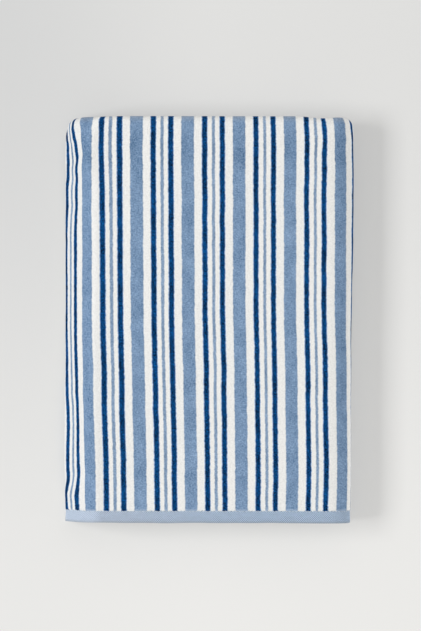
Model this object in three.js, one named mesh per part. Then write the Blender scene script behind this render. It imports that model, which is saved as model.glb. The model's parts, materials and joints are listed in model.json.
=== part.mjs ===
// A bath towel folded into a flat stack of twelve layers.
// Millimetres, +Z up. The towel rests on z = 0 with its middle at x = 0, y = 0.
// The hem that shows lies along -Y and the far fold along +Y.
//
// It is folded in two steps. First the length is folded into quarters, which gives a bundle of
// four layers with both hems near the viewer. Then the width is folded into thirds, and the stack
// is turned over, so that the middle third lies on top with no cut edge showing.

import * as THREE from 'three';

const DEGREE = Math.PI / 180;

// The cloth, laid flat.
const FLAT_LENGTH = 1400;
const CLOTH = { thickness: 3.0, layerGap: 0.6, bundleGap: 0.8 };

// How far the hidden edges stay behind the hem that shows.
const RECESS = { innerHem: 3, nearFold: 4 };

// Sizes that follow from the cloth's thickness.
const HALF = CLOTH.thickness / 2;
const PITCH = CLOTH.thickness + CLOTH.layerGap;
const DEEPEST = 3 * PITCH;
const BUNDLE = DEEPEST + CLOTH.thickness;
const HEIGHT = 3 * BUNDLE + 2 * CLOTH.bundleGap;

// The stack from the near hem (along = 0) to the far fold: where its left and right edges lie, how
// steeply the roll on the left comes down above and below its bend, and how high the stack stands
// there as a share of its full height.
const OUTLINE = [
  { along: 0, left: -125.4, right: 123.2, upperSlope: 40, lowerSlope: 55, height: 0.970 },
  { along: 28, left: -126.2, right: 123.8, upperSlope: 45, lowerSlope: 53, height: 0.990 },
  { along: 60, left: -126.5, right: 123.9, upperSlope: 48, lowerSlope: 52, height: 1.000 },
  { along: 100, left: -126.2, right: 123.9, upperSlope: 48, lowerSlope: 54, height: 0.996 },
  { along: 150, left: -125.7, right: 124.2, upperSlope: 46, lowerSlope: 57, height: 0.996 },
  { along: 200, left: -125.6, right: 125.0, upperSlope: 44, lowerSlope: 57, height: 1.000 },
  { along: 245, left: -125.6, right: 126.2, upperSlope: 45, lowerSlope: 56, height: 0.998 },
  { along: 290, left: -125.6, right: 126.4, upperSlope: 46, lowerSlope: 56, height: 0.992 },
  { along: 320, left: -125.6, right: 126.3, upperSlope: 52, lowerSlope: 60, height: 0.996 },
  { along: 336, left: -125.2, right: 126.0, upperSlope: 43, lowerSlope: 66, height: 0.992 },
  { along: 355, left: -121.8, right: 125.2, upperSlope: 30, lowerSlope: 70, height: 0.970 },
];

// The right side sags towards its turn: the height as a share of the stack's, across the width.
const SIDE_SAG = [
  { across: -130, height: 1.00 },
  { across: 102, height: 1.00 },
  { across: 124, height: 0.89 },
  { across: 130, height: 0.88 },
];

// The far fold is not quite straight: how far it falls short of the folded length across the width.
const FAR_EDGE = [
  { across: -126, short: 1.6 },
  { across: -104, short: 0.6 },
  { across: -70, short: 0.0 },
  { across: 75, short: 0.2 },
  { across: 101, short: 2.0 },
  { across: 113, short: 1.2 },
  { across: 126, short: 2.2 },
];
const FAR_EDGE_TAPER = 60;

// Radii of the turns across the width, at the middle of the outer and of the innermost layer.
const RADII = {
  lowerRight: { outer: 12, inner: 1.85 },
  upperRight: { outer: 13, inner: 1.85 },
  shoulder: { outer: 12, inner: 4 },
  bend: { outer: 18, inner: 8 },
  nose: { outer: 8.5, inner: 3.2 },
};
const BEND_DROP = 14; // how far under the top the roll on the left changes slope

// Free edges of the two flaps under the top third. The outer layer has the longer way round each
// turn, so the inner layers reach further and lie a little fuller than the outer one.
const MIDDLE_FLAP_END = { outer: -74, inner: -86 };
const BOTTOM_FLAP_END = { outer: 106, inner: 114 };

// Facets: where every layer is divided along its length, so that neighbouring layers have their
// facets one above the other, and the steps round the wide and the tight folds.
const LAYER_PLACES = [10, 24, 60, 110, 155, 200, 245, 285, 312, 328, 339];
const WIDE_FOLD_STEPS = 8;
const TIGHT_FOLD_STEPS = 4;

// The folded length follows from the flat length: four layers and the three folds between them.
const FAR_FOLD_REACH = 1.5 * PITCH + HALF;
const NEAR_FOLD_REACH = 0.5 * PITCH + HALF;
const FOLD_ARCS = Math.PI * PITCH * (1.5 + 0.5 + 0.5);
const FOLDED_LENGTH =
  (FLAT_LENGTH - FOLD_ARCS + 4 * FAR_FOLD_REACH + 2 * NEAR_FOLD_REACH
    + RECESS.innerHem + 2 * RECESS.nearFold) / 4;

/** Eases a column of a table between the rows on either side of a place. */
function valueAt(table, key, place, column) {
  let row = 0;
  while (row < table.length - 2 && place > table[row + 1][key]) row += 1;
  const from = table[row];
  const to = table[row + 1];
  const share = THREE.MathUtils.smoothstep(place, from[key], to[key]);
  return THREE.MathUtils.lerp(from[column], to[column], share);
}

/** A column of the outline table at a place along the towel. */
function outlineAt(along, column) {
  return valueAt(OUTLINE, 'along', along, column);
}

/**
 * The section along the length: one sheet that runs back and forth in four layers.
 * Its x is the distance from the near hem and its y is the depth in the bundle, where the layer
 * that shows lies at depth 0.
 */
function lengthSection() {
  const far = FOLDED_LENGTH - FAR_FOLD_REACH;
  const near = RECESS.nearFold + NEAR_FOLD_REACH;
  const middle = 1.5 * PITCH;
  const section = new THREE.Shape();

  const layer = (from, to, depth) => {
    const places = from < to ? LAYER_PLACES : [...LAYER_PLACES].reverse();
    places.forEach((place) => section.lineTo(place, depth));
    section.lineTo(to, depth);
  };
  const turn = (centre, depth, radius, start, end, steps) => {
    for (let step = 1; step <= steps; step += 1) {
      const angle = THREE.MathUtils.lerp(start, end, step / steps) * DEGREE;
      section.lineTo(centre + radius * Math.cos(angle), depth + radius * Math.sin(angle));
    }
  };

  // The outward side, from the hem that shows to the inner hem.
  section.moveTo(0, -HALF);
  layer(0, far, -HALF);
  turn(far, middle, 1.5 * PITCH + HALF, -90, 90, WIDE_FOLD_STEPS);
  layer(far, near, DEEPEST + HALF);
  turn(near, 2.5 * PITCH, 0.5 * PITCH + HALF, 90, 270, TIGHT_FOLD_STEPS);
  layer(near, far, 2 * PITCH - HALF);
  turn(far, middle, 0.5 * PITCH - HALF, 90, -90, TIGHT_FOLD_STEPS);
  layer(far, RECESS.innerHem, PITCH + HALF);

  // The inward side, back to the hem that shows.
  section.lineTo(RECESS.innerHem, PITCH - HALF);
  layer(RECESS.innerHem, far, PITCH - HALF);
  turn(far, middle, 0.5 * PITCH + HALF, -90, 90, TIGHT_FOLD_STEPS);
  layer(far, near, 2 * PITCH + HALF);
  turn(near, 2.5 * PITCH, 0.5 * PITCH - HALF, 270, 90, TIGHT_FOLD_STEPS);
  layer(near, far, DEEPEST - HALF);
  turn(far, middle, 1.5 * PITCH - HALF, 90, -90, WIDE_FOLD_STEPS);
  layer(far, 0, HALF);
  section.closePath();
  return section;
}

/**
 * The corners of the path across the width at one place along the towel, on the stack's outer
 * faces. The path starts at the middle flap's free edge, goes round the right turn, over the top,
 * down the roll on the left and back under the stack. Headings are in degrees from +X.
 */
function widthCorners(along) {
  const left = outlineAt(along, 'left');
  const right = outlineAt(along, 'right');
  const upper = outlineAt(along, 'upperSlope');
  const lower = outlineAt(along, 'lowerSlope');
  const nose = RADII.nose.outer + HALF;
  const bendHeight = HEIGHT - BEND_DROP;
  const foot = left + nose * (1 - 1 / Math.tan(0.5 * lower * DEGREE));
  const bend = foot + bendHeight / Math.tan(lower * DEGREE);
  const shoulder = bend + BEND_DROP / Math.tan(upper * DEGREE);
  const middleFace = BUNDLE + CLOTH.bundleGap;
  return [
    { x: right, z: middleFace, arrive: 0, leave: 90, radii: RADII.lowerRight },
    { x: right, z: HEIGHT, arrive: 90, leave: 180, radii: RADII.upperRight },
    { x: shoulder, z: HEIGHT, arrive: 180, leave: 180 + upper, radii: RADII.shoulder },
    { x: bend, z: bendHeight, arrive: 180 + upper, leave: 180 + lower, radii: RADII.bend },
    { x: foot, z: 0, arrive: 180 + lower, leave: 360, radii: RADII.nose },
  ];
}

/** A unit vector in the XZ plane, held as x and y of a Vector2. */
function heading(degrees) {
  return new THREE.Vector2(Math.cos(degrees * DEGREE), Math.sin(degrees * DEGREE));
}

/** The fillet that rounds one corner at a depth in the bundle. */
function fillet(corner, depth) {
  const arrive = heading(corner.arrive);
  const leave = heading(corner.leave);
  const inwardBefore = heading(corner.arrive + 90);
  const inwardAfter = heading(corner.leave + 90);
  const inset = (depth + HALF) / (1 + inwardBefore.dot(inwardAfter));
  const point = new THREE.Vector2(corner.x, corner.z)
    .addScaledVector(inwardBefore, inset)
    .addScaledVector(inwardAfter, inset);
  const radius = THREE.MathUtils.lerp(corner.radii.outer, corner.radii.inner, depth / DEEPEST);
  const reach = radius * Math.tan(0.5 * (corner.leave - corner.arrive) * DEGREE);
  const start = point.clone().addScaledVector(arrive, -reach);
  const end = point.clone().addScaledVector(leave, reach);
  const centre = start.clone().addScaledVector(inwardBefore, radius);
  return { start, end, centre, radius, from: corner.arrive - 90, to: corner.leave - 90 };
}

// Facets on the pieces of the path across the width, in order.
const PATH = {
  middleFlap: 2, lowerTurn: 4, rightFace: 1, upperTurn: 4, topThird: 7, shoulder: 2,
  upperSlope: 1, bend: 2, lowerSlope: 1, nose: 6, bottomFlap: 3,
};
const STATIONS = Object.values(PATH).reduce((sum, count) => sum + count, 0);

/** The path across the width at a depth and a place along the towel, as one point per station. */
function widthPath(along, depth) {
  const fillets = widthCorners(along).map((corner) => fillet(corner, depth));
  const share = depth / DEEPEST;
  const startX = THREE.MathUtils.lerp(MIDDLE_FLAP_END.outer, MIDDLE_FLAP_END.inner, share);
  const endX = THREE.MathUtils.lerp(BOTTOM_FLAP_END.outer, BOTTOM_FLAP_END.inner, share);
  const points = [new THREE.Vector2(startX, fillets[0].start.y)];

  const straight = (to, facets) => {
    const from = points[points.length - 1];
    for (let step = 1; step <= facets; step += 1) points.push(from.clone().lerp(to, step / facets));
  };
  const round = (piece, facets) => {
    for (let step = 1; step <= facets; step += 1) {
      const angle = THREE.MathUtils.lerp(piece.from, piece.to, step / facets);
      points.push(piece.centre.clone().addScaledVector(heading(angle), piece.radius));
    }
  };

  straight(fillets[0].start, PATH.middleFlap);
  round(fillets[0], PATH.lowerTurn);
  straight(fillets[1].start, PATH.rightFace);
  round(fillets[1], PATH.upperTurn);
  straight(fillets[2].start, PATH.topThird);
  round(fillets[2], PATH.shoulder);
  straight(fillets[3].start, PATH.upperSlope);
  round(fillets[3], PATH.bend);
  straight(fillets[4].start, PATH.lowerSlope);
  round(fillets[4], PATH.nose);
  straight(new THREE.Vector2(endX, fillets[4].end.y), PATH.bottomFlap);
  return points;
}

/** The folded cloth: the section along the length, swept along the path across the width. */
function foldedCloth() {
  const geometry = new THREE.ExtrudeGeometry(lengthSection(), {
    depth: STATIONS, steps: STATIONS, bevelEnabled: false,
  });
  const position = geometry.attributes.position;
  const paths = new Map();
  for (let index = 0; index < position.count; index += 1) {
    const along = position.getX(index);
    const depth = position.getY(index);
    const key = `${along.toFixed(4)} ${depth.toFixed(4)}`;
    if (!paths.has(key)) paths.set(key, widthPath(along, depth));
    const point = paths.get(key)[Math.round(position.getZ(index))];
    const taper = THREE.MathUtils.smoothstep(along, FOLDED_LENGTH - FAR_EDGE_TAPER, FOLDED_LENGTH);
    const short = taper * valueAt(FAR_EDGE, 'across', point.x, 'short');
    const height = outlineAt(along, 'height') * valueAt(SIDE_SAG, 'across', point.x, 'height');
    position.setXYZ(index, point.x, along - short, point.y * height);
  }
  geometry.computeBoundingBox();
  const middle = geometry.boundingBox.getCenter(new THREE.Vector3());
  geometry.translate(-middle.x, -middle.y, -geometry.boundingBox.min.z);
  geometry.computeVertexNormals();
  return geometry;
}

const cotton = new THREE.MeshStandardMaterial({ color: 0xb9c6d6, roughness: 0.95, metalness: 0 });
const cloth = new THREE.Mesh(foldedCloth(), cotton);
cloth.name = 'towel_cloth';

const towel = new THREE.Group();
towel.add(cloth);

export default towel;
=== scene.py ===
"""A folded bath towel of striped cotton velour, dressed over its CAD solid.

The towel is one woven cloth. Its length is folded into quarters, which gives a bundle of four
layers, and the bundle is folded into thirds across its width and turned over. The cloth is made as
one thin sheet that follows both folds, so that its stripes, pile, hems and selvedges run through
every turn as they do on a real towel.

Lengths are in metres unless a name says otherwise. +X is to the right, +Y runs along the stripes
from the hem that shows to the far fold, and +Z is up.
"""

from __future__ import annotations

import json
import logging
import math
from bisect import bisect
from collections.abc import Sequence
from dataclasses import dataclass, field

import bmesh
import bpy
from mathutils import Matrix, Vector, noise

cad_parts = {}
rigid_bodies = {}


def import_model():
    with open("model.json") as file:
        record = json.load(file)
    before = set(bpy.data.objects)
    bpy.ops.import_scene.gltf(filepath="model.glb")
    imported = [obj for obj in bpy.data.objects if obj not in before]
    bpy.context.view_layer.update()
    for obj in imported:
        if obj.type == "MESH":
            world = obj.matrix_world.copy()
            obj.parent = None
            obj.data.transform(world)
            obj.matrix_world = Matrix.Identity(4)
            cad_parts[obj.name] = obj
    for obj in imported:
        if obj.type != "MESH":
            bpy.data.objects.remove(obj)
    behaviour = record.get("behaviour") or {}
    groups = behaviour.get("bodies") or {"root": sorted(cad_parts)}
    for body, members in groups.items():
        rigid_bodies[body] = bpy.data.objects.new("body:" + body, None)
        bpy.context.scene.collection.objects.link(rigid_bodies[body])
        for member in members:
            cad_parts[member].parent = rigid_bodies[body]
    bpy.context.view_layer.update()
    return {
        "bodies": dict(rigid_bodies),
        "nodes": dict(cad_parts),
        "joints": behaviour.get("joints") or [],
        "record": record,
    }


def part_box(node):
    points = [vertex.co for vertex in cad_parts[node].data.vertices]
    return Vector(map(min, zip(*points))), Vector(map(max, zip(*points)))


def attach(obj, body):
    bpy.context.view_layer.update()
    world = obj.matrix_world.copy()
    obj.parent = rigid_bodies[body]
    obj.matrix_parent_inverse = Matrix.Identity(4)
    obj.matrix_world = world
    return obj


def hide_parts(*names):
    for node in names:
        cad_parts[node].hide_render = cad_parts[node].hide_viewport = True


MM = 0.001
CLOTH_NODE = "towel_cloth"

log = logging.getLogger("towel")


# ---- Small tools ----


def mix(low: float, high: float, share: float) -> float:
    """Return the value that lies a share of the way from low to high."""
    return low + (high - low) * share


def ease(place: float, low: float, high: float) -> float:
    """Return 0 below low, 1 above high and a smooth rise between them."""
    share = min(1.0, max(0.0, (place - low) / (high - low)))
    return share * share * (3.0 - 2.0 * share)


def put_in_scene(name: str, shape: bmesh.types.BMesh) -> bpy.types.Object:
    """Make an object of a finished shape and free the shape.

    Args:
        name: Name of the object and of its mesh.
        shape: The shape, in metres.

    Returns:
        The object.
    """
    mesh = bpy.data.meshes.new(name)
    shape.to_mesh(mesh)
    shape.free()
    piece = bpy.data.objects.new(name, mesh)
    bpy.context.scene.collection.objects.link(piece)
    return piece


def heading(degrees: float) -> Vector:
    """Return a unit vector at an angle from +X."""
    angle = math.radians(degrees)
    return Vector((math.cos(angle), math.sin(angle)))


@dataclass(frozen=True)
class Table:
    """A short table whose first column is a place and whose other columns ease between rows.

    Attributes:
        columns: Names of the columns, the place first.
        rows: One tuple per row, in order of place.
    """

    columns: tuple[str, ...]
    rows: tuple[tuple[float, ...], ...]

    def at(self, place: float, column: str) -> float:
        """Return one column at a place.

        Args:
            place: Where to read the table, in the unit of its first column.
            column: Name of the column.

        Returns:
            The value, held at the ends of the table.
        """
        index = self.columns.index(column)
        row = 0
        while row < len(self.rows) - 2 and place > self.rows[row + 1][0]:
            row += 1
        low, high = self.rows[row], self.rows[row + 1]
        return mix(low[index], high[index], ease(place, low[0], high[0]))


# ---- The shape of the fold ----


@dataclass(frozen=True)
class Corner:
    """A corner of the path across the width, on the stack's outer faces, in millimetres.

    Attributes:
        x: Where the corner lies across the towel.
        z: Its height.
        arrive: Heading of the face before it, in degrees from +X.
        leave: Heading of the face after it.
        outer: Radius of the outer layer's turn.
        inner: Radius of the innermost layer's turn.
    """

    x: float
    z: float
    arrive: float
    leave: float
    outer: float
    inner: float


@dataclass(frozen=True)
class Turn:
    """The round stretch that one layer takes at a corner, in millimetres."""

    start: Vector
    end: Vector
    centre: Vector
    radius: float
    first: float
    last: float

    def point(self, share: float) -> Vector:
        """Return the point a share of the way round."""
        return self.centre + heading(mix(self.first, self.last, share)) * self.radius


@dataclass(frozen=True)
class Row:
    """One line of the cloth across its width.

    Attributes:
        along: Distance from the near hem in the stack, in millimetres.
        depth: Depth in the bundle of four layers, in millimetres.
        length: Distance from the shown hem's edge, along the cloth, in millimetres.
    """

    along: float
    depth: float
    length: float


@dataclass(frozen=True)
class Straight:
    """A straight stretch of a path across the width, in millimetres."""

    start: Vector
    end: Vector

    def point(self, share: float) -> Vector:
        """Return the point a share of the way along."""
        return self.start.lerp(self.end, share)


@dataclass(frozen=True)
class Line:
    """One row of the cloth in its folded place, measured across its width.

    Attributes:
        points: The row's points in the towel's frame, in millimetres, from the middle flap's
            selvedge to the bottom flap's.
        across: Each point's distance from the towel's middle line along the cloth, + to the right.
    """

    points: list[Vector]
    across: list[float]

    @classmethod
    def measured(cls, points: list[Vector], top: range) -> Line:
        """Measure a row's points along the cloth.

        Args:
            points: The row's points.
            top: Indices of the points on the top third, where the middle line lies.

        Returns:
            The row with its measures.
        """
        passed = [0.0]
        for before, after in zip(points, points[1:]):
            passed.append(passed[-1] + (after - before).length)
        middle = passed[top[0]]
        for index in top:
            before, after = points[index].x, points[index + 1].x
            if before >= 0.0 >= after:
                middle = mix(passed[index], passed[index + 1], before / (before - after))
        return cls(points, [middle - distance for distance in passed])

    def edge(self, index: int) -> float:
        """Return a point's distance from the nearest selvedge along the cloth."""
        place = self.across[index]
        return min(self.across[0] - place, place - self.across[-1])

    def at(self, across: float) -> Vector:
        """Return the point that lies a distance from the middle line along the cloth."""
        index = 0
        while index < len(self.points) - 2 and self.across[index + 1] > across:
            index += 1
        here, there = self.across[index], self.across[index + 1]
        share = (here - across) / max(here - there, 1e-9)
        return self.points[index].lerp(self.points[index + 1], min(1.0, max(0.0, share)))


@dataclass
class Fold:
    """The folded stack's sizes, in millimetres, and the way from the flat cloth to it.

    Attributes:
        width: Width of the stack's box.
        length: Length of the stack's box.
        height: Height of the stack's box.
        thickness: Thickness of the cloth.
        bundle_gap: Gap between two bundles of four layers.
        hem_recess: How far the inner hem lies behind the one that shows.
        fold_recess: How far the near fold lies behind it.
        bend_drop: How far under the top the roll on the left changes slope.
        middle_flap_end: Free edge of the middle flap, of its outer and its innermost layer.
        bottom_flap_end: Free edge of the bottom flap, of its outer and its innermost layer.
        outline: The stack's sides, the roll's slopes and the height, along the towel.
        side_sag: The height as a share of the stack's, across the width.
        far_edge: How far the far fold falls short of the full length, across the width.
        far_edge_taper: How far from the far fold that begins.
    """

    width: float
    length: float
    height: float
    thickness: float = 3.0
    bundle_gap: float = 0.8
    hem_recess: float = 3.0
    fold_recess: float = 4.0
    bend_drop: float = 14.0
    middle_flap_end: tuple[float, float] = (-74.0, -86.0)
    bottom_flap_end: tuple[float, float] = (106.0, 114.0)
    outline: Table = Table(
        ("along", "left", "right", "upper", "lower", "height"),
        (
            (0, -125.4, 123.2, 40, 55, 0.970),
            (28, -126.2, 123.8, 45, 53, 0.990),
            (60, -126.5, 123.9, 48, 52, 1.000),
            (100, -126.2, 123.9, 48, 54, 0.996),
            (150, -125.7, 124.2, 46, 57, 0.996),
            (200, -125.6, 125.0, 44, 57, 1.000),
            (245, -125.6, 126.2, 45, 56, 0.998),
            (290, -125.6, 126.4, 46, 56, 0.992),
            (320, -125.6, 126.3, 52, 60, 0.996),
            (336, -125.2, 126.0, 43, 66, 0.992),
            (355, -121.8, 125.2, 30, 70, 0.970),
        ),
    )
    side_sag: Table = Table(("x", "height"), ((-130, 1.0), (102, 1.0), (124, 0.89), (130, 0.88)))
    far_edge: Table = Table(
        ("across", "short"),
        ((-126, 1.6), (-104, 0.6), (-70, 0.0), (75, 0.2), (101, 2.0), (113, 1.2), (126, 2.2)),
    )
    far_edge_taper: float = 60.0

    @property
    def pitch(self) -> float:
        """Distance between neighbouring layers of a bundle, from middle to middle."""
        return (self.height - 3 * self.thickness - 2 * self.bundle_gap) / 9

    @property
    def deepest(self) -> float:
        """Depth of a bundle's innermost layer."""
        return 3 * self.pitch

    @property
    def bundle(self) -> float:
        """Thickness of a bundle of four layers."""
        return self.deepest + self.thickness

    def corners(self, along: float) -> list[Corner]:
        """Return the corners of the path across the width.

        The path starts at the middle flap's free edge, goes round the right turn, over the top,
        down the roll on the left and back under the stack.

        Args:
            along: Distance from the near hem.

        Returns:
            The five corners, in order.
        """
        left = self.outline.at(along, "left")
        right = self.outline.at(along, "right")
        upper = self.outline.at(along, "upper")
        lower = self.outline.at(along, "lower")
        nose_radius = 8.5
        nose = nose_radius + self.thickness / 2
        bend_height = self.height - self.bend_drop
        foot = left + nose * (1 - 1 / math.tan(math.radians(lower) / 2))
        bend = foot + bend_height / math.tan(math.radians(lower))
        shoulder = bend + self.bend_drop / math.tan(math.radians(upper))
        middle_face = self.bundle + self.bundle_gap
        return [
            Corner(right, middle_face, 0, 90, 12.0, 1.85),
            Corner(right, self.height, 90, 180, 13.0, 1.85),
            Corner(shoulder, self.height, 180, 180 + upper, 12.0, 4.0),
            Corner(bend, bend_height, 180 + upper, 180 + lower, 18.0, 8.0),
            Corner(foot, 0, 180 + lower, 360, nose_radius, 3.2),
        ]

    def turn(self, corner: Corner, depth: float) -> Turn:
        """Return the arc that a layer takes at a corner.

        Args:
            corner: The corner on the outer faces.
            depth: The layer's depth in the bundle.

        Returns:
            The arc, with its ends and its centre.
        """
        arrive, leave = heading(corner.arrive), heading(corner.leave)
        before, after = heading(corner.arrive + 90), heading(corner.leave + 90)
        inset = (depth + self.thickness / 2) / (1 + before.dot(after))
        point = Vector((corner.x, corner.z)) + (before + after) * inset
        radius = mix(corner.outer, corner.inner, depth / self.deepest)
        reach = radius * math.tan(math.radians(corner.leave - corner.arrive) / 2)
        start = point - arrive * reach
        centre = start + before * radius
        return Turn(start, point + leave * reach, centre, radius, corner.arrive - 90, corner.leave - 90)

    def path(self, along: float, depth: float, counts: Sequence[int]) -> list[Vector]:
        """Return one layer's way across the width, in the section.

        Args:
            along: Distance from the near hem.
            depth: The layer's depth in the bundle.
            counts: How many steps each of its straight stretches and turns is divided into.

        Returns:
            Its points as x and z, from the middle flap's selvedge to the bottom flap's.
        """
        share = depth / self.deepest
        turns = [self.turn(corner, depth) for corner in self.corners(along)]
        start = Vector((mix(*self.middle_flap_end, share), turns[0].start.y))
        end = Vector((mix(*self.bottom_flap_end, share), turns[-1].end.y))
        pieces: list[Turn | Straight] = []
        here = start
        for turn in turns:
            pieces += [Straight(here, turn.start), turn]
            here = turn.end
        pieces.append(Straight(here, end))
        found = [start]
        for piece, count in zip(pieces, counts, strict=True):
            found += [piece.point(step / count) for step in range(1, count + 1)]
        return found

    def settle(self, along: float, point: Vector) -> Vector:
        """Bring a point of the even stack to its place in the uneven one.

        Args:
            along: Distance from the near hem.
            point: x and z in the section.

        Returns:
            The point in the towel's own frame, still in millimetres.
        """
        taper = ease(along, self.length - self.far_edge_taper, self.length)
        short = taper * self.far_edge.at(point.x, "short")
        y = along - short - self.length / 2
        height = self.outline.at(along, "height") * self.side_sag.at(point.x, "height")
        return Vector((point.x, y, point.y * height))

    def line(self, along: float, depth: float, counts: Sequence[int]) -> Line:
        """Return one row of the cloth in its folded place.

        Args:
            along: Distance from the near hem.
            depth: Depth in the bundle.
            counts: How many steps each piece of the path is divided into.

        Returns:
            The row, measured along the cloth.
        """
        points = [self.settle(along, point) for point in self.path(along, depth, counts)]
        first = sum(counts[:4])
        return Line.measured(points, range(first, first + counts[4]))


# ---- Shader maths ----


class Graph:
    """A material's node tree, with one way to add a node."""

    def __init__(self, name: str) -> None:
        """Start a material whose only node is its output.

        Args:
            name: Name of the material.
        """
        self.material = bpy.data.materials.new(name)
        self.material.use_nodes = True
        self.tree = self.material.node_tree
        self.tree.nodes.clear()

    def node(
        self, kind: str, settings: dict | None = None, inputs: dict | None = None
    ) -> bpy.types.Node:
        """Add one node.

        Args:
            kind: The node's type.
            settings: Its properties, set before its sockets.
            inputs: Values or links of its sockets, by name or index.

        Returns:
            The new node.
        """
        made = self.tree.nodes.new(kind)
        for key, value in (settings or {}).items():
            setattr(made, key, value)
        for key, value in (inputs or {}).items():
            self.feed(made.inputs[key], value)
        return made

    def feed(self, socket: bpy.types.NodeSocket, value: object) -> None:
        """Link a socket to what drives it, or set its constant."""
        source = getattr(value, "socket", value)
        if isinstance(source, bpy.types.NodeSocket):
            self.tree.links.new(source, socket)
        else:
            socket.default_value = source

    def coordinates(self, name: str) -> bpy.types.NodeSocket:
        """Return one of the piece's own UV maps."""
        return self.node("ShaderNodeUVMap", {"uv_map": name}).outputs["UV"]

    def split(self, vector: bpy.types.NodeSocket) -> tuple[Field, Field]:
        """Return the first two numbers of a vector."""
        parts = self.node("ShaderNodeSeparateXYZ", None, {0: vector})
        return Field(self, parts.outputs[0]), Field(self, parts.outputs[1])

    def noise(
        self,
        vector: bpy.types.NodeSocket,
        grain: tuple[float, float],
        detail: float = 2.0,
        seed: float = 0.0,
    ) -> Field:
        """Return smooth noise over the cloth, centred on 0 and mostly within 0.5 of it.

        Args:
            vector: The cloth's own coordinates, in metres.
            grain: Size of the noise's features across and along the cloth, in millimetres.
            detail: Octaves of finer noise.
            seed: Moves the noise, so that two fields differ.

        Returns:
            The noise.
        """
        scale = (1.0 / (grain[0] * MM), 1.0 / (grain[1] * MM), 1.0)
        moved = (seed, 2.3 * seed, seed)
        spread = self.node(
            "ShaderNodeVectorMath", {"operation": "MULTIPLY_ADD"}, {0: vector, 1: scale, 2: moved}
        )
        values = {"Vector": spread.outputs[0], "Scale": 1.0, "Detail": detail, "Roughness": 0.55}
        return Field(self, self.node("ShaderNodeTexNoise", None, values).outputs[0]) - 0.5

    def blend(self, low: object, high: object, share: Field) -> bpy.types.NodeSocket:
        """Mix two colours.

        Args:
            low: The colour at 0, as a value or a socket.
            high: The colour at 1.
            share: How much of the second colour there is.

        Returns:
            The mixed colour.
        """
        made = self.node("ShaderNodeMix", {"data_type": "RGBA", "clamp_factor": True})
        self.feed(made.inputs[0], share)
        self.feed(made.inputs[6], low)
        self.feed(made.inputs[7], high)
        return made.outputs[2]


class Field:
    """A number that varies over the surface, with Python's arithmetic."""

    def __init__(self, graph: Graph, socket: bpy.types.NodeSocket) -> None:
        """Wrap a socket of a graph."""
        self.graph = graph
        self.socket = socket

    def math(self, operation: str, *values: object) -> Field:
        """Add one Math node.

        Args:
            operation: The node's operation.
            values: What its sockets take, in order.

        Returns:
            The node's result.
        """
        made = self.graph.node("ShaderNodeMath", {"operation": operation}, dict(enumerate(values)))
        return Field(self.graph, made.outputs[0])

    def __add__(self, other: object) -> Field:
        """Add."""
        return self.math("ADD", self, other)

    __radd__ = __add__

    def __sub__(self, other: object) -> Field:
        """Subtract."""
        return self.math("SUBTRACT", self, other)

    def __rsub__(self, other: object) -> Field:
        """Subtract from a number."""
        return self.math("SUBTRACT", other, self)

    def __mul__(self, other: object) -> Field:
        """Multiply."""
        return self.math("MULTIPLY", self, other)

    __rmul__ = __mul__

    def pingpong(self, scale: float) -> Field:
        """Fold the number back and forth between 0 and a limit."""
        return self.math("PINGPONG", self, scale)

    def wave(self, period: float) -> Field:
        """Return a sine wave of the number, between -1 and 1."""
        return self.math("SINE", self * (2 * math.pi / period))

    def magnitude(self) -> Field:
        """Return the number without its sign."""
        return self.math("ABSOLUTE", self)

    def over(self, low: float, high: float) -> Field:
        """Return 0 below low, 1 above high and a smooth rise between them."""
        settings = {"interpolation_type": "SMOOTHSTEP"}
        inputs = {"Value": self, "From Min": low, "From Max": high, "To Min": 0.0, "To Max": 1.0}
        return Field(self.graph, self.graph.node("ShaderNodeMapRange", settings, inputs).outputs[0])


# ---- Finishes ----


Colour = tuple[float, float, float, float]


@dataclass(frozen=True)
class Stripe:
    """One coloured stripe of the repeat, in millimetres.

    Attributes:
        middle: Its middle, from the middle of the repeat's wide stripe.
        half: Half its width.
    """

    middle: float
    half: float


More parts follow.
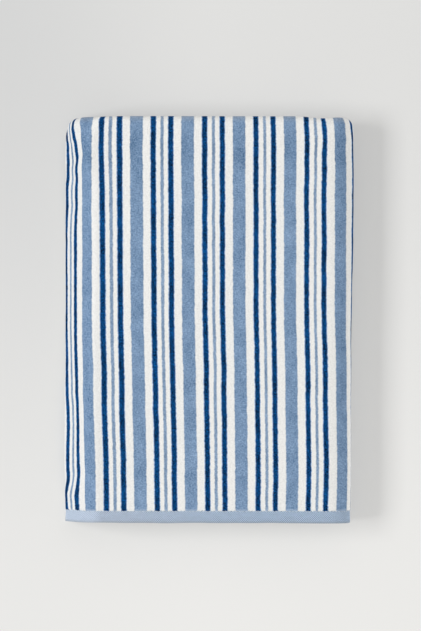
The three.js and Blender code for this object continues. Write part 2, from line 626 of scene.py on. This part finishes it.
@dataclass(frozen=True)
class StripedVelour:
    """Sheared cotton pile with yarn-dyed stripes, and flat woven hems.

    Lengths are in millimetres and colours are linear.

    Attributes:
        repeat: Width of one repeat of the stripes.
        first: Where the middle of a wide stripe lies, from the towel's middle line.
        wide: The wide blue stripe.
        navy: The navy stripe, with its mirror image on the wide stripe's other side.
        rim: The navy stripe with the bluish pile along its edges.
        thin: The thin blue stripe, halfway between two wide ones.
        soft: How far a stripe's edge fades into the next pile.
        fuller: How much wider half a stripe is at the left of the stack, and at its right.
        hem: Width of the flat hems at the towel's ends.
        selvedge: Width of the flat edges along its sides.
        tuft: Spacing of the tufts along the pile's end.
        thread: Spacing of the hem's threads.
        white to flat_edge: Colours of the pile, of its shades and of the flat weave, the flat weave
            painted lit at the left and shaded at the right.
        painted_roll_shade: How much painted shade darkens the pile along the rolled left side.
    """

    repeat: float = 44.4
    first: float = 26.4
    wide: Stripe = Stripe(0.0, 5.45)
    navy: Stripe = Stripe(14.6, 2.1)
    rim: Stripe = Stripe(14.6, 2.55)
    thin: Stripe = Stripe(22.2, 1.3)
    soft: float = 0.55
    fuller: tuple[float, float] = (0.16, -0.08)
    hem: float = 10.6
    selvedge: float = 7.0
    tuft: float = 2.6
    thread: float = 1.9
    white: Colour = (0.885, 0.885, 0.867, 1.0)
    white_shade: Colour = (0.755, 0.755, 0.742, 1.0)
    blue: Colour = (0.33, 0.465, 0.67, 1.0)
    blue_dark: Colour = (0.055, 0.13, 0.245, 1.0)
    navy_light: Colour = (0.0045, 0.11, 0.37, 1.0)
    navy_dark: Colour = (0.0002, 0.008, 0.03, 1.0)
    rim_blue: Colour = (0.20, 0.44, 0.79, 1.0)
    painted_roll_shade: float = 0.17
    flat_lit_left: Colour = (0.605, 0.695, 0.84, 1.0)
    flat_shaded_right: Colour = (0.50, 0.635, 0.82, 1.0)
    flat_shade: Colour = (0.24, 0.30, 0.385, 1.0)
    flat_edge: Colour = (0.27, 0.285, 0.30, 1.0)

    def material(self, crest: float) -> bpy.types.Material:
        """Build the finish.

        Args:
            crest: Distance of the far fold's crest from the shown hem, along the cloth.

        Returns:
            The material.
        """
        graph = Graph("striped_velour")
        cloth = graph.coordinates("cloth")
        across, along = graph.split(cloth)
        edge, end = graph.split(graph.coordinates("edges"))

        pile = self.pile_colour(graph, cloth, across, along, end, crest)
        ragged = graph.noise(cloth, (2.2, 1.6), 1.0, 5.0) * 1.5 * MM
        ragged = ragged + across.wave(self.tuft * MM) * 0.22 * MM
        hem = 1.0 - (end + ragged).over((self.hem - 0.3) * MM, (self.hem + 0.3) * MM)
        side = 1.0 - edge.over((self.selvedge - 0.3) * MM, (self.selvedge + 0.3) * MM)
        flat = hem.math("MAXIMUM", hem, side)
        colour = graph.blend(pile, self.flat_colour(graph, cloth, across, along, end), flat)

        height = self.pile_height(graph, cloth) * (1.0 - flat)
        height = height + self.weave(across, along) * 0.5 * flat
        relief = {"Strength": 1.0, "Distance": 0.6 * MM, "Height": height}
        bump = graph.node("ShaderNodeBump", None, relief)
        shader = graph.node(
            "ShaderNodeBsdfPrincipled",
            None,
            {
                "Base Color": colour,
                "Roughness": 0.95,
                "Specular IOR Level": 0.05,
                "Normal": bump.outputs[0],
            },
        )
        graph.node("ShaderNodeOutputMaterial", None, {"Surface": shader.outputs[0]})
        return graph.material

    def pile_colour(
        self,
        graph: Graph,
        cloth: bpy.types.NodeSocket,
        across: Field,
        along: Field,
        end: Field,
        crest: float,
    ) -> bpy.types.NodeSocket:
        """Build the colour of the pile, with its stripes, its marks, a darker band short of the far fold,
        painted sheen on the fold's crest and painted shade on the rolled left side.

        Args:
            graph: The finish's nodes.
            cloth: The cloth's own coordinates.
            across: Place across the cloth.
            along: Place along the cloth.
            end: Distance from the nearest hem edge.
            crest: Distance of the far fold's crest from the shown hem, along the cloth.

        Returns:
            The colour.
        """
        sway = graph.noise(cloth, (60.0, 24.0), 1.0, 9.0) * 1.1 * MM
        wander = graph.noise(cloth, (5.0, 3.4), 2.0, 1.0) * 1.25 * MM
        fringe = graph.noise(cloth, (1.5, 1.3), 1.0, 2.0) * 0.7 * MM
        place = (across - self.first * MM + sway + wander + fringe).pingpong(self.repeat / 2 * MM)
        left, right = self.fuller
        fuller = left * MM - across.over(-115.0 * MM, 115.0 * MM) * (left - right) * MM
        wide, navy, rim, thin = (
            1.0 - ((place - stripe.middle * MM).magnitude() - fuller).over(
                (stripe.half - self.soft) * MM, (stripe.half + self.soft) * MM
            )
            for stripe in (self.wide, self.navy, self.rim, self.thin)
        )

        patches = graph.noise(cloth, (11.0, 16.0), 1.0, 10.0)
        lie = graph.noise(cloth, (2.6, 3.4), 3.0, 3.0)
        fine = graph.noise(cloth, (1.4, 1.3), 1.0, 4.0)
        specks = graph.noise(cloth, (0.9, 0.9), 1.0, 11.0).over(0.12, 0.26)
        # A darker band on the blue, just short of the far fold's crest.
        before = (along - (crest - 30.0 * MM)).magnitude()
        band_before_crest = 1.0 - before.over(4.0 * MM, 22.0 * MM)
        marks = patches * 0.55 + lie * 0.55 + fine * 1.2 + 0.5 - band_before_crest * 0.16
        # Painted sheen on the far fold's crest, with the pile opened at the bend: the blue is lightened
        # there.
        crest_sheen_and_opening = 1.0 - (along - crest).magnitude().over(1.0 * MM, 9.0 * MM)

        white = graph.blend(self.white_shade, self.white, lie * 0.9 + fine * 1.9 + 0.72)
        blue = graph.blend(self.blue_dark, self.blue, marks)
        blue = graph.blend(blue, self.white_shade, crest_sheen_and_opening * 0.2 + specks * 0.2)
        tips = 1.0 - end.over((self.hem + 0.4) * MM, (self.hem + 2.2) * MM)
        blue = graph.blend(blue, self.flat_lit_left, tips * 0.35)
        tone = patches * 0.9 + lie * 0.55 + fine * 1.8 + 0.36
        dark = graph.blend(self.navy_dark, self.navy_light, tone)
        dark = graph.blend(dark, self.blue, specks * 0.1)
        colour = graph.blend(white, blue, wide)
        colour = graph.blend(colour, blue, thin * 0.94)
        colour = graph.blend(colour, self.rim_blue, rim * 0.8)
        colour = graph.blend(colour, dark, navy)
        # Painted shade: the pile is darkened towards navy along the rolled left side.
        rolled = 1.0 - across.over(-118.0 * MM, -80.0 * MM)
        return graph.blend(colour, self.navy_dark, rolled * self.painted_roll_shade)

    def flat_colour(
        self, graph: Graph, cloth: bpy.types.NodeSocket, across: Field, along: Field, end: Field
    ) -> bpy.types.NodeSocket:
        """Build the colour of the flat woven hems and selvedges, with painted light and shade across them.

        Args:
            graph: The finish's nodes.
            cloth: The cloth's own coordinates.
            across: Place across the cloth.
            along: Place along the cloth.
            end: Distance from the nearest hem edge.

        Returns:
            The colour.
        """
        # Painted light: the flat weave is lighter at the left, towards the window lamp, and darker to the
        # right.
        base = graph.blend(self.flat_lit_left, self.flat_shaded_right, across.over(-125.0 * MM, 50.0 * MM))
        uneven = graph.noise(cloth, (1.2, 0.9), 1.0, 6.0) + graph.noise(cloth, (9.0, 2.5), 2.0, 12.0) * 0.6
        threads = self.weave(across, along) * 0.8 + uneven * 0.75
        # Painted shade and floor reflection: the flat weave turns greyer and darker towards the hem's
        # edge.
        hem_edge_shade = 1.0 - end.over(0.5 * MM, 7.0 * MM)
        # Painted shadow: the flat weave is darker at the foot of the pile, where the pile steps down to
        # the hem.
        foot = end.over((self.hem - 1.3) * MM, self.hem * MM)
        colour = graph.blend(base, self.flat_shade, threads + hem_edge_shade * 0.06 + foot * 0.25 + 0.36)
        # The very edge is greyer and darker still.
        return graph.blend(colour, self.flat_edge, (1.0 - end.over(0.2 * MM, 2.6 * MM)) * 0.4)

    def pile_height(self, graph: Graph, cloth: bpy.types.NodeSocket) -> Field:
        """Return the relief of the pile: fine tips over soft clumps."""
        tips = graph.noise(cloth, (0.75, 0.75), 2.0, 7.0)
        clumps = graph.noise(cloth, (3.0, 3.6), 2.0, 8.0)
        return tips * 0.9 + clumps * 0.9

    def weave(self, across: Field, along: Field) -> Field:
        """Return the hem's weave, a small even basket between -1 and 1."""
        return across.wave(self.thread * MM) * along.wave(self.thread * MM)


# ---- The towel ----


@dataclass
class Trail:
    """The cloth's way along the length of the stack, drawn as a row of steps.

    Attributes:
        rows: The rows so far, the first at the shown hem's edge.
    """

    rows: list[Row] = field(default_factory=lambda: [Row(0.0, 0.0, 0.0)])

    def go(self, places: Sequence[float]) -> None:
        """Run straight through a list of places, in millimetres from the near hem."""
        for place in places:
            last = self.rows[-1]
            self.rows.append(Row(place, last.depth, last.length + abs(place - last.along)))

    def turn(self, middle: float, depth: float, side: int, steps: int) -> None:
        """Turn half a circle into another layer.

        Args:
            middle: Where the circle's centre lies along the stack.
            depth: The centre's depth in the bundle.
            side: 1 for a turn at the far end, -1 for one at the near end.
            steps: How many steps the turn takes.
        """
        start = self.rows[-1]
        arm = start.depth - depth
        arc = math.pi * abs(arm)
        for step in range(1, steps + 1):
            angle = math.pi * step / steps
            along = middle + side * abs(arm) * math.sin(angle)
            place = depth + arm * math.cos(angle)
            self.rows.append(Row(along, place, start.length + arc * step / steps))


@dataclass(frozen=True)
class Crease:
    """A soft ridge or trough laid on the cloth, in millimetres.

    Attributes:
        across: Its middle, from the towel's middle line along the cloth.
        along: Its middle, from the shown hem.
        length: How long it is.
        width: How wide it is.
        angle: Its heading in degrees, from straight across the towel.
        height: How far it stands out, or sinks in where it is negative.
    """

    across: float
    along: float
    length: float
    width: float
    angle: float
    height: float

    def relief(self, across: float, along: float) -> float:
        """Return how far the cloth stands out at a place because of this crease."""
        turned = heading(self.angle)
        offset = Vector((across - self.across, along - self.along))
        down = offset.dot(turned) / (self.length / 2)
        aside = offset.cross(turned) / (self.width / 2)
        return self.height * math.exp(-(down * down) - aside * aside)


@dataclass(frozen=True)
class Pull:
    """A place where the cloth has been pulled a little sideways, in millimetres.

    Attributes:
        across: Its middle, from the towel's middle line in the towel's frame.
        along: Its middle, from the near hem.
        width: How far it reaches across.
        length: How far it reaches along.
        shift: How far the stripes move to the right.
    """

    across: float
    along: float
    width: float
    length: float
    shift: float

    def at(self, across: float, along: float) -> float:
        """Return how far the stripes move at a place because of this pull."""
        aside = (across - self.across) / self.width
        down = (along - self.along) / self.length
        return self.shift * math.exp(-aside * aside - down * down)


@dataclass
class TowelCloth:
    """The one cloth of the towel, as a thin sheet on both folds.

    Attributes:
        fold: The folded stack.
        finish: The cloth's finish.
        steps_across: Steps on each piece of a row, from the middle flap to the bottom flap.
        shown_step: Distance between the rows of the layer that shows.
        hidden_steps: Rows on each hidden layer.
        wide_turn_steps: Rows on the far fold's outer turn.
        tight_turn_steps: Rows on each inner turn.
        hem_places: Where the hem's rows lie, from its edge.
        hem_fullness: The hem's thickness as a share of the pile's.
        hem_droop: How far the hem sinks under the pile on top of the stack.
        drift: How far the stripes lie to the right of their even places, at the drift columns.
        drift_columns: Where across the stack the columns of the drift lie.
        roll_drift: The same on the rolled left side alone.
        roll_reach: Where the roll's drift begins, and where it is in full.
        pulls: Places where the cloth has been pulled sideways.
        creases: Soft ridges and troughs.
    """

    fold: Fold
    finish: StripedVelour = field(default_factory=StripedVelour)
    steps_across: tuple[int, ...] = (10, 8, 6, 8, 88, 5, 9, 4, 12, 12, 12)
    shown_step: float = 2.9
    hidden_steps: int = 20
    wide_turn_steps: int = 18
    tight_turn_steps: int = 8
    hem_places: tuple[float, ...] = (0.35, 1.1, 3.0, 6.0, 9.0, 10.7, 11.3, 11.9, 12.7, 14.5)
    hem_fullness: float = 0.62
    hem_droop: float = 0.7
    drift: Table = Table(
        ("along", "left", "inner", "middle", "right"),
        (
            (0, 3.5, 3.2, 2.0, 0.7),
            (45, 2.8, 2.7, 2.0, 1.4),
            (120, 1.0, 1.3, 1.3, 0.5),
            (190, -0.1, 0.0, 0.1, -0.7),
            (330, -0.3, -0.7, 0.0, -0.4),
            (355, -0.6, -0.5, -0.4, -1.2),
        ),
    )
    drift_columns: tuple[float, ...] = (-105.0, -50.0, 30.0, 115.0)
    roll_drift: Table = Table(
        ("along", "slip"),
        (
            (0, -0.8),
            (20, -2.0),
            (42, 1.0),
            (100, 2.2),
            (146, 0.4),
            (246, -0.2),
            (284, 2.0),
            (330, 2.4),
            (338, 0.3),
            (346, -2.5),
            (355, -4.4),
        ),
    )
    roll_reach: tuple[float, float] = (-109.0, -117.0)
    pulls: tuple[Pull, ...] = (
        Pull(-109.0, 320.0, 5.0, 11.0, 1.5),
        Pull(-109.0, 349.0, 5.0, 6.0, -1.1),
        Pull(-101.0, 340.0, 4.0, 12.0, 0.6),
        Pull(-91.0, 324.0, 10.0, 26.0, -1.3),
        Pull(-94.0, 355.0, 7.0, 3.5, 1.6),
        Pull(99.0, 338.0, 7.0, 14.0, 0.6),
        Pull(111.0, 333.0, 6.0, 14.0, -0.4),
        Pull(118.0, 330.0, 6.0, 26.0, -0.7),
        Pull(117.0, 355.0, 5.5, 5.0, -2.2),
        Pull(104.0, 355.0, 5.5, 4.0, -1.4),
        Pull(124.5, 347.0, 4.0, 7.0, -1.9),
        Pull(80.0, 333.0, 36.0, 12.0, 0.45),
        Pull(126.0, 262.0, 3.0, 26.0, 0.3),
        Pull(126.0, 124.0, 3.0, 34.0, -0.5),
    )
    creases: tuple[Crease, ...] = (
        Crease(-120.0, 317.0, 30.0, 9.0, 20.0, -0.9),
        Crease(-124.0, 300.0, 26.0, 10.0, -12.0, -0.7),
        Crease(-119.0, 340.0, 24.0, 9.0, -30.0, 0.7),
        Crease(-124.0, 276.0, 28.0, 12.0, 8.0, -0.5),
        Crease(-122.0, 112.0, 30.0, 16.0, 6.0, 0.5),
        Crease(-121.0, 42.0, 34.0, 13.0, 14.0, -0.7),
        Crease(-123.0, 24.0, 26.0, 9.0, -8.0, 0.6),
        Crease(106.0, 350.0, 20.0, 7.0, 60.0, -0.7),
        Crease(118.0, 338.0, 26.0, 10.0, 100.0, 0.5),
        Crease(-92.0, 346.0, 24.0, 8.0, 70.0, -0.5),
        Crease(122.0, 250.0, 40.0, 12.0, 80.0, -0.4),
    )

    def rows(self) -> list[Row]:
        """Return the rows of the cloth, from the shown hem to the inner hem."""
        fold = self.fold
        half = fold.thickness / 2
        far = fold.length - 1.5 * fold.pitch - half
        near = fold.fold_recess + 0.5 * fold.pitch + half
        hem = list(self.hem_places)
        inner_hem = [fold.hem_recess + place for place in reversed(hem)] + [fold.hem_recess]
        count = math.ceil((far - hem[-1]) / self.shown_step)
        shown = [mix(hem[-1], far, step / count) for step in range(1, count + 1)]

        def hidden(start: float, end: float) -> list[float]:
            steps = range(1, self.hidden_steps + 1)
            return [mix(start, end, step / self.hidden_steps) for step in steps]

        trail = Trail()
        trail.go(hem + shown)
        trail.turn(far, 1.5 * fold.pitch, 1, self.wide_turn_steps)
        trail.go(hidden(far, near))
        trail.turn(near, 2.5 * fold.pitch, -1, self.tight_turn_steps)
        trail.go(hidden(near, far))
        trail.turn(far, 1.5 * fold.pitch, 1, self.tight_turn_steps)
        trail.go(hidden(far, inner_hem[0]))
        trail.go(inner_hem[1:])
        return trail.rows

    def relief(self, row: Row, point: Vector, across: float) -> float:
        """Return how far the cloth stands out from its even layer.

        Args:
            row: The row of the cloth.
            point: The place in the towel's frame, in millimetres.
            across: The place across the cloth.

        Returns:
            The relief in millimetres, outwards.
        """
        shown = 1.0 - ease(row.depth, 0.0, self.fold.pitch)
        lifted = ease(point.z, 3.0, 9.0)
        broad = noise.noise(Vector((across / 26.0, row.length / 38.0, 0.7))) * 0.34
        small = noise.noise(Vector((across / 8.0, row.length / 10.0, 4.2))) * 0.13
        placed = sum(crease.relief(across, row.length) for crease in self.creases)
        return (broad + small + placed) * shown * lifted

    def hem_lift(self, hem: float, outwards: Vector) -> float:
        """Return how far the hem stands out: it sinks on top and stays flush at the sides.

        Args:
            hem: Distance from the nearest hem edge.
            outwards: The way out of the cloth there.

        Returns:
            The lift in millimetres, outwards.
        """
        up = max(outwards.z, 0.0)
        flush = 0.5 * self.fold.thickness * (1.0 - self.hem_fullness)
        return mix(flush, -self.hem_droop, up) * (1.0 - ease(hem, 0.0, 12.0))

    def hem_shift(self, point: Vector, hem: float) -> Vector:
        """Return how the hem's edge leaves its straight line, with rounded corners."""
        slant = 0.5 * ease(-point.x, 60.0, 118.0) - 0.5 * ease(point.x, 50.0, 105.0)
        corner = ease(point.x, 118.5, 124.5) ** 2 + 0.2 * ease(-point.x, 120.0, 126.0) ** 2
        ripple = 0.5 * noise.noise(Vector((point.x / 24.0, 0.0, 8.1)))
        return Vector((0.0, slant + corner + ripple, 0.0)) * (1.0 - ease(hem, 0.0, 16.0))

    def drift_at(self, along: float, x: float) -> float:
        """Return how far the stripes have slipped to the right, in millimetres."""
        place = bisect(self.drift_columns, x, 1, len(self.drift_columns) - 1)
        low, high = self.drift_columns[place - 1], self.drift_columns[place]
        before = self.drift.at(along, self.drift.columns[place])
        after = self.drift.at(along, self.drift.columns[place + 1])
        roll = self.roll_drift.at(along, "slip") * (1.0 - ease(x, *reversed(self.roll_reach)))
        pulled = sum(pull.at(x, along) for pull in self.pulls)
        return mix(before, after, ease(x, low, high)) + roll + pulled

    def build(self) -> bpy.types.Object:
        """Make the sheet, give it its thickness and dress it.

        Returns:
            The finished piece.
        """
        rows = self.rows()
        counts = self.steps_across
        lines = [self.fold.line(row.along, row.depth, counts) for row in rows]
        lifted = [self.fold.line(row.along, row.depth - 1.0, counts) for row in rows]
        wide, long = len(lines[0].points) - 1, len(rows) - 1
        total = rows[-1].length

        sheet = bmesh.new()
        bmesh.ops.create_grid(sheet, x_segments=wide, y_segments=long, size=0.5)
        cloth_map = sheet.loops.layers.uv.new("cloth")
        edge_map = sheet.loops.layers.uv.new("edges")
        fullness = sheet.verts.layers.deform.verify()
        sheet.verts.index_update()
        places: dict[int, tuple[Vector, Vector]] = {}
        for vertex in sheet.verts:
            index = wide - round((vertex.co.x + 0.5) * wide)
            number = round((vertex.co.y + 0.5) * long)
            row, line = rows[number], lines[number]
            point, across, edge = line.points[index], line.across[index], line.edge(index)
            hem = min(row.length, total - row.length)
            outwards = lifted[number].points[index] - point
            relief = self.relief(row, point, across) + self.hem_lift(hem, outwards)
            vertex.co = (point + outwards * relief + self.hem_shift(point, hem)) * MM
            slip = self.drift_at(row.along, point.x)
            places[vertex.index] = (
                Vector((across - slip, row.length)) * MM,
                Vector((edge, hem)) * MM,
            )
            bare = min(hem / self.finish.hem, edge / self.finish.selvedge)
            full = mix(self.hem_fullness, 1.0, ease(bare, 0.98, 1.08))
            full *= mix(0.8, 1.0, ease(min(hem, edge), 0.0, 1.0))
            vertex[fullness][0] = full
        for face in sheet.faces:
            face.smooth = True
            for loop in face.loops:
                loop[cloth_map].uv, loop[edge_map].uv = places[loop.vert.index]

        piece = put_in_scene("towel_velour", sheet)
        piece.vertex_groups.new(name="fullness")
        wall = piece.modifiers.new("thickness", "SOLIDIFY")
        wall.thickness = self.fold.thickness * MM
        wall.offset = 0.0
        wall.use_even_offset = False
        wall.vertex_group = "fullness"
        far = self.fold.length - 1.5 * self.fold.pitch - self.fold.thickness / 2
        crest = (far + 0.5 * math.pi * 1.5 * self.fold.pitch) * MM
        piece.data.materials.append(self.finish.material(crest))
        return piece


# ---- The studio ----


@dataclass(frozen=True)
class HemStitches:
    """The row of stitches that holds the turned hem, as one joined piece. Sizes in millimetres.

    Attributes:
        place: Distance of the row from the hem's edge.
        pitch: Distance from stitch to stitch.
        length: Length of one stitch.
        width: Width of one stitch.
        height: How far a stitch stands out.
        margin: How far the row stops short of the selvedges.
        sink: How far a stitch's middle lies under the hem's full thickness.
        thread: Colour of the thread.
    """

    place: float = 10.1
    pitch: float = 2.9
    length: float = 2.3
    width: float = 0.7
    height: float = 0.55
    margin: float = 9.0
    sink: float = 0.55
    thread: Colour = (0.66, 0.74, 0.84, 1.0)

    def material(self) -> bpy.types.Material:
        """Build the thread's finish, twisted cotton."""
        graph = Graph("hem_thread")
        place = graph.coordinates("thread")
        across, along = graph.split(place)
        twist = (across + along).wave(0.35 * MM)
        shade = graph.noise(place, (4.0, 4.0), 1.0, 13.0)
        dark = tuple(0.72 * part for part in self.thread[:3]) + (1.0,)
        colour = graph.blend(dark, self.thread, twist * 0.25 + shade + 0.65)
        relief = {"Strength": 0.6, "Distance": 0.1 * MM, "Height": twist}
        bump = graph.node("ShaderNodeBump", None, relief)
        inputs = {
            "Base Color": colour,
            "Roughness": 0.8,
            "Specular IOR Level": 0.2,
            "Normal": bump.outputs[0],
        }
        shader = graph.node("ShaderNodeBsdfPrincipled", None, inputs)
        graph.node("ShaderNodeOutputMaterial", None, {"Surface": shader.outputs[0]})
        return graph.material

    def build(self, cloth: TowelCloth) -> bpy.types.Object:
        """Sew the row on the shown hem.

        Args:
            cloth: The towel's cloth.

        Returns:
            The finished piece.
        """
        depth = self.sink - cloth.fold.thickness / 2
        line = cloth.fold.line(self.place, depth, cloth.steps_across)
        first, last = line.across[-1] + self.margin, line.across[0] - self.margin
        count = math.floor((last - first) / self.pitch)
        row = bmesh.new()
        layer = row.loops.layers.uv.new("thread")
        size = Matrix.Diagonal((self.length / 2, self.width / 2, self.height, 1.0))
        for number in range(count + 1):
            across = first + number * self.pitch
            point = line.at(across)
            side = (line.at(across + 0.5) - line.at(across - 0.5)).normalized()
            out = side.cross(Vector((0.0, 1.0, 0.0)))
            shift = cloth.hem_shift(point, self.place)
            slant = 0.06 * math.sin(2.4 * number)
            heading_along = (side + slant * Vector((0.0, 1.0, 0.0))).normalized()
            frame = Matrix((heading_along, out.cross(heading_along), out)).transposed().to_4x4()
            frame.translation = point + shift
            place = Matrix.Scale(MM, 4) @ frame @ size
            made = bmesh.ops.create_uvsphere(
                row, u_segments=6, v_segments=5, radius=1.0, matrix=place
            )
            for face in {face for vertex in made["verts"] for face in vertex.link_faces}:
                face.smooth = True
                for loop in face.loops:
                    loop[layer].uv = (across * MM, (loop.vert.co.y - point.y * MM))
        piece = put_in_scene("hem_stitches", row)
        piece.data.materials.append(self.material())
        return piece


@dataclass
class Studio:
    """The plain pale floor, the soft light and the camera.

    Attributes:
        height: Height of the towel's top, which the camera frames.
        frame: Height of the picture at the towel's top.
        aside: Where the camera stands over the towel.
        lens: Focal length, in millimetres.
        sensor: Width of the camera's sensor, in millimetres.
        floor_lit_near: The floor's colour at the near end, painted lighter there.
        floor_shaded_far: Its colour towards the far left, painted darker there.
        floor_glow: How much of the floor's colour the camera sees as its own light.
        room_light: Strength of the room's even light.
    """

    height: float
    frame: float = 0.5485
    aside: tuple[float, float] = (0.0014, 0.0034)
    lens: float = 300.0
    sensor: float = 36.0
    floor_lit_near: Colour = (0.828, 0.823, 0.805, 1.0)
    floor_shaded_far: Colour = (0.645, 0.648, 0.645, 1.0)
    floor_glow: float = 0.47
    room_light: float = 0.54

    def floor(self) -> None:
        """Lay the pale floor."""
        surface = bmesh.new()
        bmesh.ops.create_grid(surface, x_segments=2, y_segments=2, size=4.0)
        piece = put_in_scene("studio_floor", surface)
        graph = Graph("pale_floor")
        place = graph.node("ShaderNodeTexCoord").outputs["Object"]
        right, up = graph.split(place)
        # Painted light: the floor is lighter at the near end and darker towards the far left.
        far, left = up.over(-0.28, 0.26), 1.0 - right.over(-0.20, 0.02)
        tone = far * 0.5 + left * (far * 0.28 + 0.22)
        colour = graph.blend(self.floor_lit_near, self.floor_shaded_far, tone)
        shader = graph.node(
            "ShaderNodeBsdfPrincipled",
            None,
            {"Base Color": colour, "Roughness": 0.85, "Specular IOR Level": 0.1},
        )
        glow = graph.node("ShaderNodeEmission", None, {"Color": colour, "Strength": 1.0})
        seen = Field(graph, graph.node("ShaderNodeLightPath").outputs["Is Camera Ray"])
        share = seen * self.floor_glow
        floor = graph.node(
            "ShaderNodeMixShader", None, {0: share, 1: shader.outputs[0], 2: glow.outputs[0]}
        )
        graph.node("ShaderNodeOutputMaterial", None, {"Surface": floor.outputs[0]})
        piece.data.materials.append(graph.material)

    def lamp(
        self,
        name: str,
        place: tuple[float, float, float],
        size: tuple[float, float],
        power: float,
        spread: float,
    ) -> None:
        """Hang one soft rectangular lamp that faces the towel.

        Args:
            name: Name of the lamp.
            place: Where it hangs.
            size: Its width and height.
            power: Its strength, in watts.
            spread: How wide its light opens, in degrees.
        """
        light = bpy.data.lights.new(name, "AREA")
        light.shape = "RECTANGLE"
        light.size, light.size_y = size
        light.energy = power
        light.spread = math.radians(spread)
        lamp = bpy.data.objects.new(name, light)
        lamp.location = place
        lamp.rotation_euler = Vector(place).to_track_quat("Z", "Y").to_euler()
        bpy.context.scene.collection.objects.link(lamp)

    def light(self) -> None:
        """Set the window-like lamp on the left, the low fill and the even light of the room."""
        window = (-3.37, 0.05, 3.14)
        low_right = (1.70, -0.10, 0.13)
        self.lamp("window", window, size=(2.4, 1.3), power=158.0, spread=180.0)
        self.lamp("fill", low_right, size=(1.6, 0.16), power=1.35, spread=50.0)
        world = bpy.data.worlds.new("room")
        world.use_nodes = True
        room = world.node_tree.nodes["Background"]
        room.inputs["Color"].default_value = (1.0, 0.995, 0.985, 1.0)
        room.inputs["Strength"].default_value = self.room_light
        bpy.context.scene.world = world

    def camera(self) -> None:
        """Hang the camera straight over the towel, with the far fold at the top of the picture."""
        eye = bpy.data.cameras.new("camera")
        eye.lens = self.lens
        eye.sensor_width = self.sensor
        eye.sensor_fit = "AUTO"
        eye.clip_end = 20.0
        distance = self.frame * self.lens / self.sensor
        holder = bpy.data.objects.new("camera", eye)
        holder.location = (*self.aside, self.height + distance)
        bpy.context.scene.collection.objects.link(holder)
        bpy.context.scene.camera = holder

    def build(self) -> None:
        """Set up the whole studio."""
        self.floor()
        self.light()
        self.camera()
        bpy.context.scene.view_settings.view_transform = "Standard"


def main() -> None:
    """Load the frame, dress the towel and light it."""
    logging.basicConfig(level=logging.INFO, format="%(message)s")
    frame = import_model()
    low, high = (Vector(corner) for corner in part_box(CLOTH_NODE))
    size = (high - low) / MM
    log.info("frame of %d node(s), %.1f x %.1f x %.1f mm", len(frame["nodes"]), *size)

    Studio(height=high.z).build()
    fold = Fold(width=size.x, length=size.y, height=size.z)
    towel = TowelCloth(fold)
    cloth = towel.build()
    stitches = HemStitches().build(towel)
    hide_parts(CLOTH_NODE)
    for piece in (cloth, stitches):
        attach(piece, "root")
    log.info("cloth: %d faces before its thickness", len(cloth.data.polygons))


if __name__ == "__main__":
    main()
